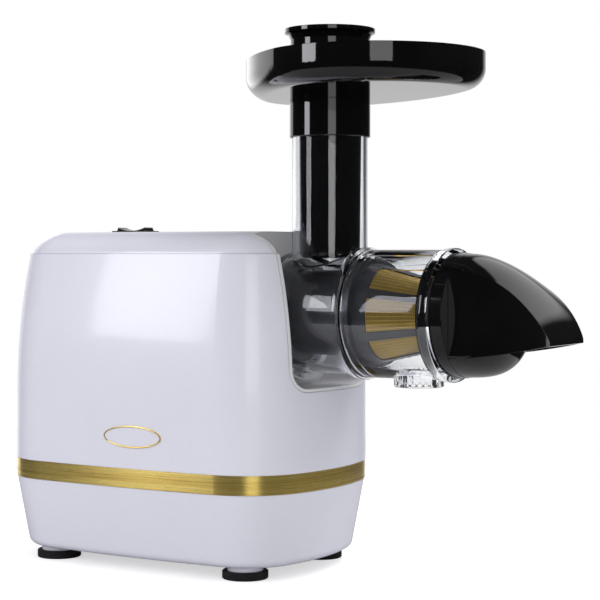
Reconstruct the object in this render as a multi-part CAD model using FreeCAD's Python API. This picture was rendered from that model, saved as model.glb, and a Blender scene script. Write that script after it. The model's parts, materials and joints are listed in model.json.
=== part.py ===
import FreeCAD, Part
import math
import os
from FreeCAD import Vector

# A horizontal slow juicer in millimetres. +X runs from the motor body to the pulp hood,
# +Y away from the viewer and +Z up. The origin is on the table, midway between the four feet.

# Clearances
fit_gap = 0.15          # between fixed pieces that slot together
run_gap = 0.04          # radial, shaft in bearing
turn_gap = 0.4          # between pieces that turn or slide past each other
joint_gap = 0.02        # between pieces that are welded face to face

# Motor body outline
body_half_length = 114.7
body_half_width = 75.5
corner_radius = 45.0
corner_x = 66.0         # centre of each corner's arc
corner_y = 28.0
wall = 2.6

# Motor body heights
body_bottom = 8.0
bottom_edge_radius = 6.0
skirt_slope = 0.19
skirt_step = 0.7
band_bottom = 54.0
band_top = 66.0
belly_top = 112.0
seam_height = 200.0
cover_height = 14.0
shoulder_inset = 8.8
cover_inset = 10.5
cover_roll = 21.5
body_top = seam_height + cover_height
cover_lip_height = 8.0
cover_lip_wall = 2.0

# Gold band
band_thickness = 2.5
band_inset = 0.3

# Feet
foot_x = 74.0
foot_y = 44.5
pad_radius = 14.3
pad_height = 5.0
pad_chamfer = 0.5
stub_radius = 11.3
spigot_radius = 4.0
spigot_height = 9.0

# Docking recess
drive_height = 163.0    # axis of the drive, the drum and the auger
recess_half_width = 45.5
recess_bottom = 115.0
recess_corner = 14.0
recess_back = 78.0
liner_wall = 2.0

# Bayonet ring and drum lugs
lug_centres = (75.0, 145.0, 215.0, 285.0)   # degrees from +Z towards +Y
lug_angle = 18.0
unlock_angle = 20.0
lug_radius = 41.2
lug_start = 84.1
lug_length = 4.5
ring_radius = 43.0
ring_wall = 1.4
ring_length = 12.0
lip_length = 3.0
ring_open_from = -54.0  # the ring is open at the top, for the chute
ring_open_to = 34.0

# Drum
neck_radius = 38.0
neck_bore = 34.5
drum_back = 81.2
back_wall = 3.0
flange_x = 133.0
flange_length = 4.0
flange_radius = 41.0
drum_radius = 39.5
drum_bore = 36.5
collar_x = 190.0
collar_back_radius = 38.9
collar_radius = 40.6
collar_slope = 2.3
drum_front = 197.3
boss_bore = 12.0

# Chute
chute_x = 108.2
chute_radius = 23.75
chute_bore = 21.6
chute_top = 291.0

# Juice spout
spout_x = 171.6
spout_radius = 15.3
spout_bore = 9.0
spout_bottom = 119.0
spout_rib_count = 24
spout_rib_depth = 0.7
spout_lip = 2.0

# Tray
tray_turn = -39.5       # the way its wide end points, about the chute
tray_small_radius = 49.0
tray_large_radius = 65.0
tray_small_shift = 3.0
tray_large_shift = 78.4
tray_side_radius = 190.0
tray_bottom = 296.1
tray_rim = 317.4
tray_wall = 2.4
tray_fillet = 12.0
tray_collar_radius = 25.5
tray_collar_bottom = 272.8
tray_hole_radius = 21.0

# Pusher
pusher_bottom = 197.3
pusher_tip_radius = 19.0
pusher_radius = 20.1
pusher_head_radius = 25.0
pusher_rim_radius = 28.5
pusher_flare_bottom = 334.0
pusher_rim_bottom = 338.4
pusher_top = 340.9
pusher_wall = 2.0
pusher_tip_round = 3.0

# Strainer
strainer_back = 142.0
strainer_front = 199.0
strainer_back_radius = 32.8
strainer_front_radius = 18.2
strainer_wall = 2.4
strainer_window_count = 7
strainer_window_first = -38.5
strainer_window_angle = 40.0
strainer_window_start = 150.5
strainer_window_end = 183.0
mesh_wall = 0.5

# Auger
auger_start = 84.8
auger_neck_core = 26.0
auger_core_end = 20.0
auger_tip_core = 11.0
auger_end = 190.0
flight_pitch = 24.0
flight_thickness = 8.0
cone_pitch = 11.0
cone_flight_thickness = 3.0
auger_pin_radius = 4.0
auger_socket_half = 6.3
auger_socket_depth = 20.0

# End cap and hood
cap_flange_radius = 37.5
cap_flange_length = 8.4
cap_wall = 2.4
cap_spigot_length = 8.0
nose_length = 41.5
nose_inset = 0.3
outlet_radius = 15.0
cap_socket_length = 5.5
cap_socket_wall = 2.2
hood_half_width = 28.5
hood_tip_half_width = 24.0
hood_tip_x = 269.2
hood_narrows_x = 252.0
hood_wall = 2.2
hood_start = 204.0

# Rocker switch
switch_x = -45.0
bezel_length = 29.0
bezel_width = 14.0
bezel_height = 1.3
bezel_rim = 1.3
rocker_pivot = body_top - 3.0
rocker_radius = 12.9
rocker_tip = body_top + 3.6
rocker_dip = body_top + 1.4
rocker_pin_radius = 1.2

# Power inlet
inlet_height = 86.0
inlet_width = 27.5
inlet_tall = 20.0
inlet_depth = 22.0
inlet_flange_width = 31.0
inlet_flange_tall = 24.0
inlet_flange_proud = 0.9
inlet_flange_thickness = 2.0
inlet_cavity_depth = 17.0
inlet_pin_length = 12.0

# Gear train, two stages
pinion_teeth = 14
first_gear_teeth = 63
first_module = 1.1
second_pinion_teeth = 14
second_gear_teeth = 56
second_module = 1.4
gear_width = 10.0
pinion_width = 12.0
backlash = 0.16
first_stage_x = 19.5
second_stage_x = 33.0
pressure_angle = math.radians(20.0)

# Motor
stator_back = -49.0
stator_front = -11.0
stator_half = 40.0
stator_bore = 25.4
rotor_radius = 24.9
motor_shaft_radius = 4.0
motor_shaft_back = -80.0
motor_shaft_front = 32.0
winding_outer = 36.0
winding_inner = 28.0
winding_length = 11.0
shield_thickness = 4.0
shield_half_width = 42.0
shield_gap = 14.0
fan_radius = 34.0
fan_width = 9.0
fan_blade_count = 7

# Gear case
case_back = 9.0
case_front = 52.0
case_wall = 3.0
case_half_width = 46.0
case_bottom = drive_height - 108.0
case_top = drive_height + 43.5
case_corner = 12.0

# Shafts and bearings
output_shaft_radius = 7.5
output_bearing_radius = 16.0
output_bearing_width = 9.0
small_bearing_radius = 11.0
small_bearing_width = 7.0
reduction_shaft_radius = 4.0
drive_square_half = 6.0
drive_end = 103.0

# Electrics
bracket_height = drive_height - 1.0
bracket_thickness = 3.0
capacitor_radius = 16.0

# Screws
screw_radius = 2.0
screw_head_radius = 4.0
screw_head_height = 2.5
case_screw_radius = 1.4

# Derived places
first_centres = (pinion_teeth + first_gear_teeth) * first_module / 2
second_centres = (second_pinion_teeth + second_gear_teeth) * second_module / 2
reduction_height = drive_height - second_centres
motor_height = reduction_height - first_centres
foot_places = [(sx * foot_x, sy * foot_y) for sx in (-1, 1) for sy in (-1, 1)]
post_places = [(x, y) for x in (-40.0, 50.0) for y in (-58.0, 58.0)]
case_screw_places = [(y, z) for y in (-40.0, 40.0) for z in (case_bottom + 7.0, case_bottom + 75.0, case_top - 7.5)]
drum_fit_radius = drum_bore - fit_gap
liner_front = body_half_length + 5.0
inner_floor = body_bottom + 3.0

parts = {}


# Plain shapes

def cylinder_x(radius, x0, x1, z=0.0, y=0.0):
    return Part.makeCylinder(radius, x1 - x0, Vector(x0, y, z), Vector(1, 0, 0))


def cylinder_z(radius, z0, z1, x=0.0, y=0.0):
    return Part.makeCylinder(radius, z1 - z0, Vector(x, y, z0), Vector(0, 0, 1))


def ring_x(outer, inner, x0, x1, z):
    return cylinder_x(outer, x0, x1, z).cut(cylinder_x(inner, x0 - 1, x1 + 1, z))


def ring_z(outer, inner, z0, z1, x, y=0.0):
    return cylinder_z(outer, z0, z1, x, y).cut(cylinder_z(inner, z0 - 1, z1 + 1, x, y))


def block(x0, x1, y0, y1, z0, z1):
    return Part.makeBox(x1 - x0, y1 - y0, z1 - z0, Vector(x0, y0, z0))


def polygon(points):
    return Part.Face(Part.makePolygon(list(points) + [points[0]]))


def turned(points, z=drive_height):
    """A solid turned about the X axis at height z, from (x, radius) points."""
    face = polygon([Vector(x, 0, z + r) for x, r in points])
    return face.revolve(Vector(0, 0, z), Vector(1, 0, 0), 360)


def turned_upright(points, x, y=0.0):
    """A solid turned about a vertical axis, from (radius, z) points."""
    face = polygon([Vector(x + r, y, z) for r, z in points])
    return face.revolve(Vector(x, y, 0), Vector(0, 0, 1), 360)


def fuse_all(shapes):
    result = shapes[0]
    for shape in shapes[1:]:
        result = result.fuse(shape)
    return result.removeSplitter()


def rounded_block_x(x0, x1, half_y, z0, z1, radius):
    """A block along X whose four long edges are rounded."""
    shape = block(x0, x1, -half_y, half_y, z0, z1)
    edges = [e for e in shape.Edges if abs(e.Vertexes[0].X - e.Vertexes[-1].X) > 1e-6]
    return shape.makeFillet(radius, edges)


# Motor body outline and heights

def arc_radius(offset, across, reach):
    """Radius of a shallow side arc that is tangent to the corner arcs."""
    return (offset ** 2 + (across - reach) ** 2 - corner_radius ** 2) / (2 * (reach - corner_radius - across))


def body_outline(inset, z):
    """The body's plan outline at a height, drawn in by an inset: four side arcs, four corner arcs."""
    side_radius = arc_radius(corner_x, corner_y, body_half_width)
    end_radius = arc_radius(corner_y, corner_x, body_half_length)
    corner = Vector(corner_x, corner_y, 0)
    to_side = (corner - Vector(0, body_half_width - side_radius, 0)).normalize()
    to_end = (corner - Vector(body_half_length - end_radius, 0, 0)).normalize()
    radius = corner_radius - inset
    side_point = corner + to_side * radius
    end_point = corner + to_end * radius
    mid_point = corner + (to_side + to_end).normalize() * radius

    def at(point, sx, sy):
        return Vector(point.x * sx, point.y * sy, z)

    reach_x = body_half_length - inset
    reach_y = body_half_width - inset
    edges = []
    order = [(-1, -1), (1, -1), (1, 1), (-1, 1)]
    for k, (sx, sy) in enumerate(order):
        nx, ny = order[(k + 1) % 4]
        if k % 2 == 0:
            edges.append(Part.Arc(at(side_point, sx, sy), Vector(0, sy * reach_y, z), at(side_point, nx, ny)))
            edges.append(Part.Arc(at(side_point, nx, ny), at(mid_point, nx, ny), at(end_point, nx, ny)))
        else:
            edges.append(Part.Arc(at(end_point, sx, sy), Vector(sx * reach_x, 0, z), at(end_point, nx, ny)))
            edges.append(Part.Arc(at(end_point, nx, ny), at(mid_point, nx, ny), at(side_point, nx, ny)))
    return Part.Wire([e.toShape() for e in edges])


def lower_inset(z):
    return skirt_step + skirt_slope * (band_bottom - z)


def upper_inset(z):
    t = max(0.0, (z - belly_top) / (seam_height - belly_top))
    return shoulder_inset * t * t


def cover_inset_at(z):
    power = 1.6
    t = min(1.0, (z - seam_height) / (body_top - seam_height))
    return cover_inset + cover_roll * (1 - (1 - t ** power) ** (1 / power))


def body_loft(levels, inset_at, extra=0.0):
    wires = [body_outline(inset_at(z) + extra, z) for z in levels]
    return Part.makeLoft(wires, True, False)


def spread(start, end, count):
    return [start + (end - start) * k / (count - 1) for k in range(count)]


def skirt(bottom, extra=0.0):
    """The straight tapered skirt under the band, drawn in by an extra inset."""
    wires = [body_outline(lower_inset(z) + extra, z) for z in (bottom, band_bottom)]
    return Part.makeLoft(wires, True, True)


def lower_outer():
    shape = skirt(body_bottom)
    return shape.makeFillet(bottom_edge_radius, [e for e in shape.Edges if e.BoundBox.ZMax < body_bottom + 0.1])


def upper_outer():
    return body_loft([band_top, 89.0] + spread(belly_top, seam_height, 6), upper_inset)


def cover_levels():
    rise = body_top - seam_height
    return [seam_height + rise * f for f in (0.0, 0.2, 0.4, 0.6, 0.75, 0.87, 0.95, 0.99)] + [body_top]


def cover_outer():
    return body_loft(cover_levels(), cover_inset_at)


def flat_ring(inset, thickness, z0, z1):
    """An upright ring that follows the body outline at one inset."""
    outer = Part.Face(body_outline(inset, z0)).extrude(Vector(0, 0, z1 - z0))
    inner = Part.Face(body_outline(inset + thickness, z0 - 1)).extrude(Vector(0, 0, z1 - z0 + 2))
    return outer.cut(inner)


def recess_shape(x0, x1, shrink=0.0):
    """The docking slot, open at the top, with rounded bottom corners."""
    w = recess_half_width - shrink
    low = recess_bottom + shrink
    r = recess_corner - shrink
    high = body_top + 20
    d = r * (1 - math.sqrt(0.5))
    p = [Vector(x0, -w, high), Vector(x0, -w, low + r), Vector(x0, -w + d, low + d), Vector(x0, -w + r, low)]
    q = [Vector(x0, w - r, low), Vector(x0, w - d, low + d), Vector(x0, w, low + r), Vector(x0, w, high)]
    edges = [Part.LineSegment(p[0], p[1]), Part.Arc(p[1], p[2], p[3]), Part.LineSegment(p[3], q[0])]
    edges += [Part.Arc(q[0], q[1], q[2]), Part.LineSegment(q[2], q[3]), Part.LineSegment(q[3], p[0])]
    face = Part.Face(Part.Wire([e.toShape() for e in edges]))
    return face.extrude(Vector(x1 - x0, 0, 0))


# Motor body shells

def inlet_pocket():
    back = body_half_length - inlet_flange_thickness + inlet_flange_proud
    half_w = inlet_flange_width / 2 + fit_gap
    half_t = inlet_flange_tall / 2 + fit_gap
    seat = block(-back - 8, -back, -half_w, half_w, inlet_height - half_t, inlet_height + half_t)
    half_w = inlet_width / 2 + fit_gap
    half_t = inlet_tall / 2 + fit_gap
    hole = block(-back - 8, -back + 8, -half_w, half_w, inlet_height - half_t, inlet_height + half_t)
    return seat.fuse(hole)


def make_lower_housing():
    shell = lower_outer().cut(skirt(inner_floor, wall))
    lip = flat_ring(wall + fit_gap + band_inset, 2.4, band_bottom - 3, band_top + 5)
    shape = fuse_all([shell, lip])
    for x, y in foot_places:
        shape = shape.fuse(cylinder_z(stub_radius, pad_height, inner_floor, x, y))
        shape = shape.cut(cylinder_z(spigot_radius + 0.1, 0, inner_floor + 1, x, y))
    for x, y in post_places:
        shape = shape.fuse(cylinder_z(screw_head_radius + 2.2, inner_floor - 1, inner_floor + 6, x, y))
        shape = shape.cut(cylinder_z(screw_head_radius + 0.4, 0, inner_floor + 2.5, x, y))
        shape = shape.cut(cylinder_z(screw_radius + 0.3, 0, 40, x, y))
    for k in range(9):
        x = -70 + 9 * k
        shape = shape.cut(block(x, x + 3.5, -22, 22, 0, inner_floor + 1))
    return shape.removeSplitter()


def make_upper_housing():
    levels = [band_top - 1, 89.0] + spread(belly_top, seam_height + 1, 6)
    shape = upper_outer().cut(body_loft(levels, upper_inset, wall))
    for x, y in post_places:
        post = cylinder_z(5.5, inner_floor + 6.2, 105, x, y)
        post = post.cut(cylinder_z(screw_radius - 0.2, 0, 40, x, y))
        web = block(x - 1.2, x + 1.2, min(y, y * 1.6), max(y, y * 1.6), band_top + 6, 105)
        web = web.common(body_loft(levels, upper_inset, wall / 2))
        shape = shape.fuse(post).fuse(web)
    shape = shape.cut(recess_shape(recess_back - fit_gap, liner_front, -fit_gap))
    shape = shape.cut(inlet_pocket())
    return shape.removeSplitter()


def make_top_cover():
    levels = [z - 0.001 for z in cover_levels() if z < body_top - wall]
    inner = body_loft([seam_height - 1] + levels[1:] + [body_top - wall], cover_inset_at_inside, wall)
    shape = cover_outer().cut(inner)
    lip = flat_ring(shoulder_inset + wall + 0.4, cover_lip_wall, seam_height - cover_lip_height, seam_height + 3)
    shape = shape.fuse(lip)
    shape = shape.cut(recess_shape(recess_back - fit_gap, liner_front, -fit_gap))
    shape = shape.cut(switch_hole())
    return shape.removeSplitter()


def cover_inset_at_inside(z):
    """Inside face of the cover: the same roll, scaled to the height under its skin."""
    t = max(0.0, (z - seam_height) / (body_top - wall - seam_height))
    return cover_inset + (cover_roll - 4) * (1 - (1 - min(1.0, t) ** 1.6) ** (1 / 1.6))


def switch_hole():
    half_l = bezel_length / 2 - bezel_rim + 0.2
    half_w = bezel_width / 2 - bezel_rim + 0.2
    return block(switch_x - half_l, switch_x + half_l, -half_w, half_w, body_top - 6, body_top + 3)


def make_gold_band():
    return flat_ring(band_inset, band_thickness, band_bottom + 0.05, band_top - 0.05)


def make_dock_liner():
    outer = fuse_all([upper_outer(), cover_outer()])
    shape = outer.common(recess_shape(recess_back, liner_front))
    shape = shape.cut(recess_shape(recess_back + liner_wall, liner_front + 1, liner_wall))
    return shape.cut(cylinder_x(output_shaft_radius + 5, recess_back - 1, recess_back + 4, drive_height))


def make_foot(x, y):
    pad = cylinder_z(pad_radius, 0, pad_height, x, y)
    rims = [e for e in pad.Edges if e.Curve.TypeId == "Part::GeomCircle"]
    pad = pad.makeChamfer(pad_chamfer, rims)
    spigot = cylinder_z(spigot_radius, pad_height - 1, spigot_height, x, y)
    barb = cylinder_z(spigot_radius + 1.0, inner_floor, inner_floor + 1.5, x, y)
    return fuse_all([pad, spigot, cylinder_z(spigot_radius, 4, inner_floor + 1.5, x, y), barb])


def screw_z(x, y, head_z, tip_z):
    """A screw driven upwards, with its head at the bottom."""
    head = cylinder_z(screw_head_radius, head_z, head_z + screw_head_height, x, y)
    head = head.cut(block(x - 2.5, x + 2.5, y - 0.5, y + 0.5, head_z - 1, head_z + 1))
    return head.fuse(cylinder_z(screw_radius - 0.25, head_z + 1, tip_z, x, y)).removeSplitter()


def screw_x(y, z, head_x, tip_x):
    """A screw driven towards -X, with its head at the front."""
    head = cylinder_x(3.2, head_x, head_x + 2.2, z, y)
    head = head.cut(block(head_x + 1.4, head_x + 4, y - 2.2, y + 2.2, z - 0.4, z + 0.4))
    return head.fuse(cylinder_x(case_screw_radius, tip_x, head_x + 1, z, y)).removeSplitter()


# Rocker switch and power inlet

def make_bezel():
    half_l = bezel_length / 2
    half_w = bezel_width / 2
    outer = block(switch_x - half_l, switch_x + half_l, -half_w, half_w, body_top, body_top + bezel_height)
    outer = outer.makeFillet(0.5, [e for e in outer.Edges if e.BoundBox.ZMin > body_top + 0.5])
    tube = block(switch_x - half_l + bezel_rim, switch_x + half_l - bezel_rim,
                 -half_w + bezel_rim, half_w - bezel_rim, body_top - 12, body_top + 0.5)
    hole = block(switch_x - rocker_radius - turn_gap, switch_x + rocker_radius + turn_gap,
                 -half_w + bezel_rim + 0.9, half_w - bezel_rim - 0.9, body_top - 15, body_top + 4)
    pin_hole = Part.makeCylinder(rocker_pin_radius + run_gap, bezel_width, Vector(switch_x, -half_w, rocker_pivot),
                                 Vector(0, 1, 0))
    return fuse_all([outer, tube]).cut(hole).cut(pin_hole)


def make_rocker():
    half = math.sqrt(rocker_radius ** 2 - (rocker_tip - rocker_pivot) ** 2)
    low_half = rocker_radius * 0.88
    low = rocker_pivot - math.sqrt(rocker_radius ** 2 - low_half ** 2)
    y = -(bezel_width / 2 - bezel_rim - 0.9 - turn_gap)

    def at(dx, z):
        return Vector(switch_x + dx, y, z)

    edges = [Part.LineSegment(at(-low_half, low), at(low_half, low)),
             Part.Arc(at(low_half, low), at(rocker_radius, rocker_pivot), at(half, rocker_tip)),
             Part.Arc(at(half, rocker_tip), at(0, rocker_dip), at(-half, rocker_tip)),
             Part.Arc(at(-half, rocker_tip), at(-rocker_radius, rocker_pivot), at(-low_half, low))]
    face = Part.Face(Part.Wire([e.toShape() for e in edges]))
    body = face.extrude(Vector(0, -2 * y, 0))
    reach = bezel_width / 2 - bezel_rim - 0.2
    pin = Part.makeCylinder(rocker_pin_radius, 2 * reach, Vector(switch_x, -reach, rocker_pivot), Vector(0, 1, 0))
    return body.fuse(pin).removeSplitter()


def make_switch_module():
    half_w = bezel_width / 2 - bezel_rim
    low = body_top - 26
    body = block(switch_x - 12, switch_x + 12, -half_w, half_w, low, body_top - 12)
    for dx in (-8, 0, 8):
        body = body.fuse(block(switch_x + dx - 0.4, switch_x + dx + 0.4, -2.4, 2.4, low - 8, low + 1))
    return body.removeSplitter()


def make_power_inlet():
    back = -(body_half_length - inlet_flange_thickness + inlet_flange_proud)
    front = back - inlet_flange_thickness
    low = inlet_height
    flange = block(front, back, -inlet_flange_width / 2, inlet_flange_width / 2,
                   low - inlet_flange_tall / 2, low + inlet_flange_tall / 2)
    flange = flange.makeFillet(2.0, [e for e in flange.Edges if abs(e.BoundBox.XLength - inlet_flange_thickness) < 0.01])
    body = block(back - 0.5, back + inlet_depth, -inlet_width / 2, inlet_width / 2,
                 low - inlet_tall / 2, low + inlet_tall / 2)
    cavity = block(front - 1, front + inlet_cavity_depth, -12.3, 12.3, low - 8.2, low + 8.2)
    corners = [e for e in cavity.Edges if e.BoundBox.XLength > 10 and e.BoundBox.ZMin > low]
    cavity = cavity.makeChamfer(4.5, corners)
    return fuse_all([flange, body]).cut(cavity)


def make_inlet_pins():
    floor_x = -(body_half_length + inlet_flange_proud) + inlet_cavity_depth
    back = -(body_half_length - inlet_flange_thickness + inlet_flange_proud) + inlet_depth
    pins = []
    for y, z in ((-7.0, -2.0), (7.0, -2.0), (0.0, 2.5)):
        blade = block(floor_x - inlet_pin_length, floor_x, y - 1, y + 1, inlet_height + z - 2, inlet_height + z + 2)
        tab = block(back, back + 8, y - 0.4, y + 0.4, inlet_height + z - 2.4, inlet_height + z + 2.4)
        pins += [blade, tab]
    return Part.makeCompound(pins)


# Motor

def bearing(x0, width, outer, inner, z):
    """A shielded ball bearing as one ring with a shallow groove on each face."""
    body = ring_x(outer - run_gap, inner + run_gap, x0, x0 + width, z)
    gap = (outer - inner) * 0.28
    for start in (x0 - 0.1, x0 + width - 0.5):
        body = body.cut(ring_x(outer - gap, inner + gap, start, start + 0.6, z))
    return body


def make_stator():
    core = rounded_block_x(stator_back, stator_front, stator_half, motor_height - stator_half,
                           motor_height + stator_half, 14.0)
    core = core.cut(cylinder_x(stator_bore, stator_back - 1, stator_front + 1, motor_height))
    for y, z in bolt_places():
        core = core.cut(cylinder_x(2.2, stator_back - 1, stator_front + 1, z, y))
    return core


def winding(x0, x1):
    low, high = winding_inner, winding_outer
    points = [(x0, low + 2), (x0 + 3, low), (x1 - 3, low), (x1, low + 2), (x1, high - 3), (x1 - 3, high),
              (x0 + 3, high), (x0, high - 3)]
    return turned(points, motor_height)


def make_windings():
    return Part.makeCompound([winding(stator_back - winding_length, stator_back - 0.05),
                              winding(stator_front + 0.05, stator_front + winding_length)])


def shield(x0):
    """A motor end plate with a bearing seat, tie-bolt holes and a foot."""
    x1 = x0 + shield_thickness
    plate = rounded_block_x(x0, x1, shield_half_width, motor_height - stator_half, motor_height + stator_half, 14.0)
    foot = block(x0, x1, -34, 34, inner_floor + 5, motor_height - stator_half + 8)
    hub = cylinder_x(small_bearing_radius + 3, x0 - 1.5, x1 + 1.5, motor_height)
    shape = fuse_all([plate, foot, hub])
    shape = shape.cut(cylinder_x(small_bearing_radius, x0 - 3, x1 + 3, motor_height))
    for y, z in bolt_places():
        shape = shape.cut(cylinder_x(2.2, x0 - 1, x1 + 1, z, y))
    for k in range(4):
        angle = math.radians(90 * k)
        y = 26 * math.sin(angle)
        z = motor_height + 26 * math.cos(angle)
        shape = shape.cut(cylinder_x(6.0, x0 - 1, x1 + 1, z, y))
    return shape


def bolt_places():
    reach = stator_half - 7
    return [(sy * reach, motor_height + sz * reach) for sy in (-1, 1) for sz in (-1, 1)]


def make_motor_bolts():
    back = stator_back - shield_gap - shield_thickness
    front = stator_front + shield_gap + shield_thickness
    bolts = []
    for y, z in bolt_places():
        bolt = cylinder_x(2.0, back - 4, front, z, y)
        bolt = bolt.fuse(cylinder_x(3.6, back - 3.2, back, z, y))
        bolts.append(bolt.removeSplitter())
    return Part.makeCompound(bolts)


def make_motor_mounts():
    mounts = []
    for x0 in (stator_back - shield_gap - shield_thickness, stator_front + shield_gap):
        for y in (-24, 24):
            mounts.append(block(x0 - 4, x0 + shield_thickness + 4, y - 8, y + 8, inner_floor, inner_floor + 5))
    return Part.makeCompound(mounts)


def make_rotor():
    core = ring_x(rotor_radius - turn_gap, motor_shaft_radius, stator_back, stator_front, motor_height)
    ends = [ring_x(20, 14, stator_back - 5, stator_back, motor_height),
            ring_x(20, 14, stator_front, stator_front + 5, motor_height)]
    return fuse_all([core] + ends)


def make_motor_shaft():
    return cylinder_x(motor_shaft_radius, motor_shaft_back, motor_shaft_front, motor_height)


def make_fan():
    x0 = motor_shaft_back + 1
    hub = ring_x(9, motor_shaft_radius, x0, x0 + fan_width, motor_height)
    disc = ring_x(fan_radius, motor_shaft_radius, x0 + fan_width - 1.5, x0 + fan_width, motor_height)
    blades = []
    for k in range(fan_blade_count):
        blade = block(x0, x0 + fan_width, -0.8, 0.8, motor_height + 7, motor_height + fan_radius - 0.5)
        blade.rotate(Vector(0, 0, motor_height), Vector(1, 0, 0), 360 * k / fan_blade_count)
        blades.append(blade)
    return fuse_all([hub, disc] + blades)


# Gears

def involute(angle):
    return math.tan(angle) - angle


def gear(teeth, module, x0, width, bore, z, phase):
    """A spur gear about X. Phase is the angle of one tooth's middle from +Z."""
    pitch = teeth * module / 2
    base = pitch * math.cos(pressure_angle)
    tip = pitch + 0.85 * module
    root = pitch - 1.15 * module
    start = max(base * 1.0005, root)

    def half_angle(radius):
        pressure = math.acos(min(1.0, base / radius))
        return (math.pi / 2 - backlash / module) / teeth + involute(pressure_angle) - involute(pressure)

    def at(radius, angle):
        return Vector(x0, radius * math.sin(angle), z + radius * math.cos(angle))

    middle = (start + tip) / 2
    edges = []
    step = 2 * math.pi / teeth
    for k in range(teeth):
        centre = phase + k * step
        low, mid, high = half_angle(start), half_angle(middle), half_angle(tip)
        foot = at(root, centre - low)
        if start > root + 1e-6:
            edges.append(Part.LineSegment(foot, at(start, centre - low)))
        edges.append(Part.Arc(at(start, centre - low), at(middle, centre - mid), at(tip, centre - high)))
        edges.append(Part.Arc(at(tip, centre - high), at(tip, centre), at(tip, centre + high)))
        edges.append(Part.Arc(at(tip, centre + high), at(middle, centre + mid), at(start, centre + low)))
        if start > root + 1e-6:
            edges.append(Part.LineSegment(at(start, centre + low), at(root, centre + low)))
        gap = centre + step / 2
        edges.append(Part.Arc(at(root, centre + low), at(root, gap), at(root, centre + step - low)))
    face = Part.Face(Part.Wire([e.toShape() for e in edges]))
    body = face.extrude(Vector(width, 0, 0))
    return body.cut(cylinder_x(bore, x0 - 1, x0 + width + 1, z))


def make_motor_pinion():
    return gear(pinion_teeth, first_module, first_stage_x, pinion_width, motor_shaft_radius, motor_height, 0.0)


def make_reduction_gear():
    phase = math.pi + math.pi / first_gear_teeth
    body = gear(first_gear_teeth, first_module, first_stage_x + 1, gear_width, reduction_shaft_radius,
                reduction_height, phase)
    for k in range(6):
        angle = math.radians(60 * k)
        y = 20 * math.sin(angle)
        z = reduction_height + 20 * math.cos(angle)
        body = body.cut(cylinder_x(5.5, first_stage_x, first_stage_x + gear_width + 2, z, y))
    return body


def make_reduction_pinion():
    return gear(second_pinion_teeth, second_module, second_stage_x, pinion_width, reduction_shaft_radius,
                reduction_height, 0.0)


def make_output_gear():
    phase = math.pi + math.pi / second_gear_teeth
    return gear(second_gear_teeth, second_module, second_stage_x + 1, gear_width, output_shaft_radius,
                drive_height, phase)


def make_reduction_shaft():
    return cylinder_x(reduction_shaft_radius, case_back + 1.5, case_front + 3, reduction_height)


def make_output_shaft():
    body = cylinder_x(output_shaft_radius, case_back + 1.5, recess_back + 1.5, drive_height)
    drive = block(recess_back + 1, drive_end, -drive_square_half, drive_square_half,
                  drive_height - drive_square_half, drive_height + drive_square_half)
    drive = drive.makeChamfer(1.0, [e for e in drive.Edges if e.BoundBox.XMin > drive_end - 0.1])
    return fuse_all([body, drive])


# Gear case

def case_shape(x0, x1, shrink=0.0):
    return rounded_block_x(x0, x1, case_half_width - shrink, case_bottom + shrink, case_top - shrink,
                           case_corner - shrink)


def shaft_seats():
    return [(small_bearing_radius, reduction_height, small_bearing_width),
            (output_bearing_radius, drive_height, output_bearing_width)]


def make_gear_case():
    shape = case_shape(case_back, case_front - case_wall)
    shape = shape.cut(case_shape(case_back + case_wall, case_front, case_wall))
    for radius, z, width in shaft_seats():
        shape = shape.fuse(cylinder_x(radius + 3, case_back, case_back + width - 1.6, z))
        shape = shape.cut(cylinder_x(radius, case_back + 1.2, case_back + 20, z))
    shape = shape.cut(cylinder_x(8, case_back - 1, case_back + 5, motor_height))
    for y, z in case_screw_places:
        boss = cylinder_x(4, case_back, case_front - case_wall, z, y).common(case_shape(case_back, case_front))
        shape = shape.fuse(boss)
        shape = shape.cut(cylinder_x(case_screw_radius + 0.05, case_back + 15, case_front + 1, z, y))
    for y in (-34, 34):
        shape = shape.fuse(block(case_back + 6, case_front - 14, y - 4, y + 4, inner_floor, case_bottom + 2))
    return shape.removeSplitter()


def make_case_cover():
    x0 = case_front - case_wall
    shape = case_shape(x0, case_front)
    boss_end = recess_back - 0.3
    shape = shape.fuse(cylinder_x(output_bearing_radius + 3, x0, boss_end, drive_height))
    shape = shape.fuse(cylinder_x(small_bearing_radius + 3, x0, case_front + 5, reduction_height))
    shape = shape.cut(cylinder_x(small_bearing_radius, x0 - 1, x0 + small_bearing_width, reduction_height))
    shape = shape.cut(cylinder_x(output_bearing_radius, x0 - 1, boss_end - 9, drive_height))
    shape = shape.cut(cylinder_x(output_shaft_radius + 4.5, x0 - 1, boss_end + 1, drive_height))
    for y, z in case_screw_places:
        shape = shape.cut(cylinder_x(1.6, x0 - 1, case_front + 1, z, y))
    return shape.removeSplitter()


def make_shaft_seal():
    x1 = recess_back - 0.3
    return ring_x(output_shaft_radius + 4.5, output_shaft_radius + 0.3, x1 - 7, x1 - 1, drive_height)


def make_case_screws():
    return Part.makeCompound([screw_x(y, z, case_front, case_back + 18) for y, z in case_screw_places])


# Electrics

def make_control_board():
    low = bracket_height + bracket_thickness
    board = block(-66, -16, -30, 30, low + 10, low + 11.6)
    feet = [cylinder_z(2.5, low, low + 10.5, x, y) for x in (-62, -20) for y in (-26, 26)]
    top = low + 11.5
    chips = [block(-60, -44, -24, -10, top, top + 10), block(-38, -26, -24, -10, top, top + 6),
             cylinder_z(5, top, top + 12, -54, 15), cylinder_z(4, top, top + 8, -36, 16)]
    return fuse_all([board] + feet + chips)


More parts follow.
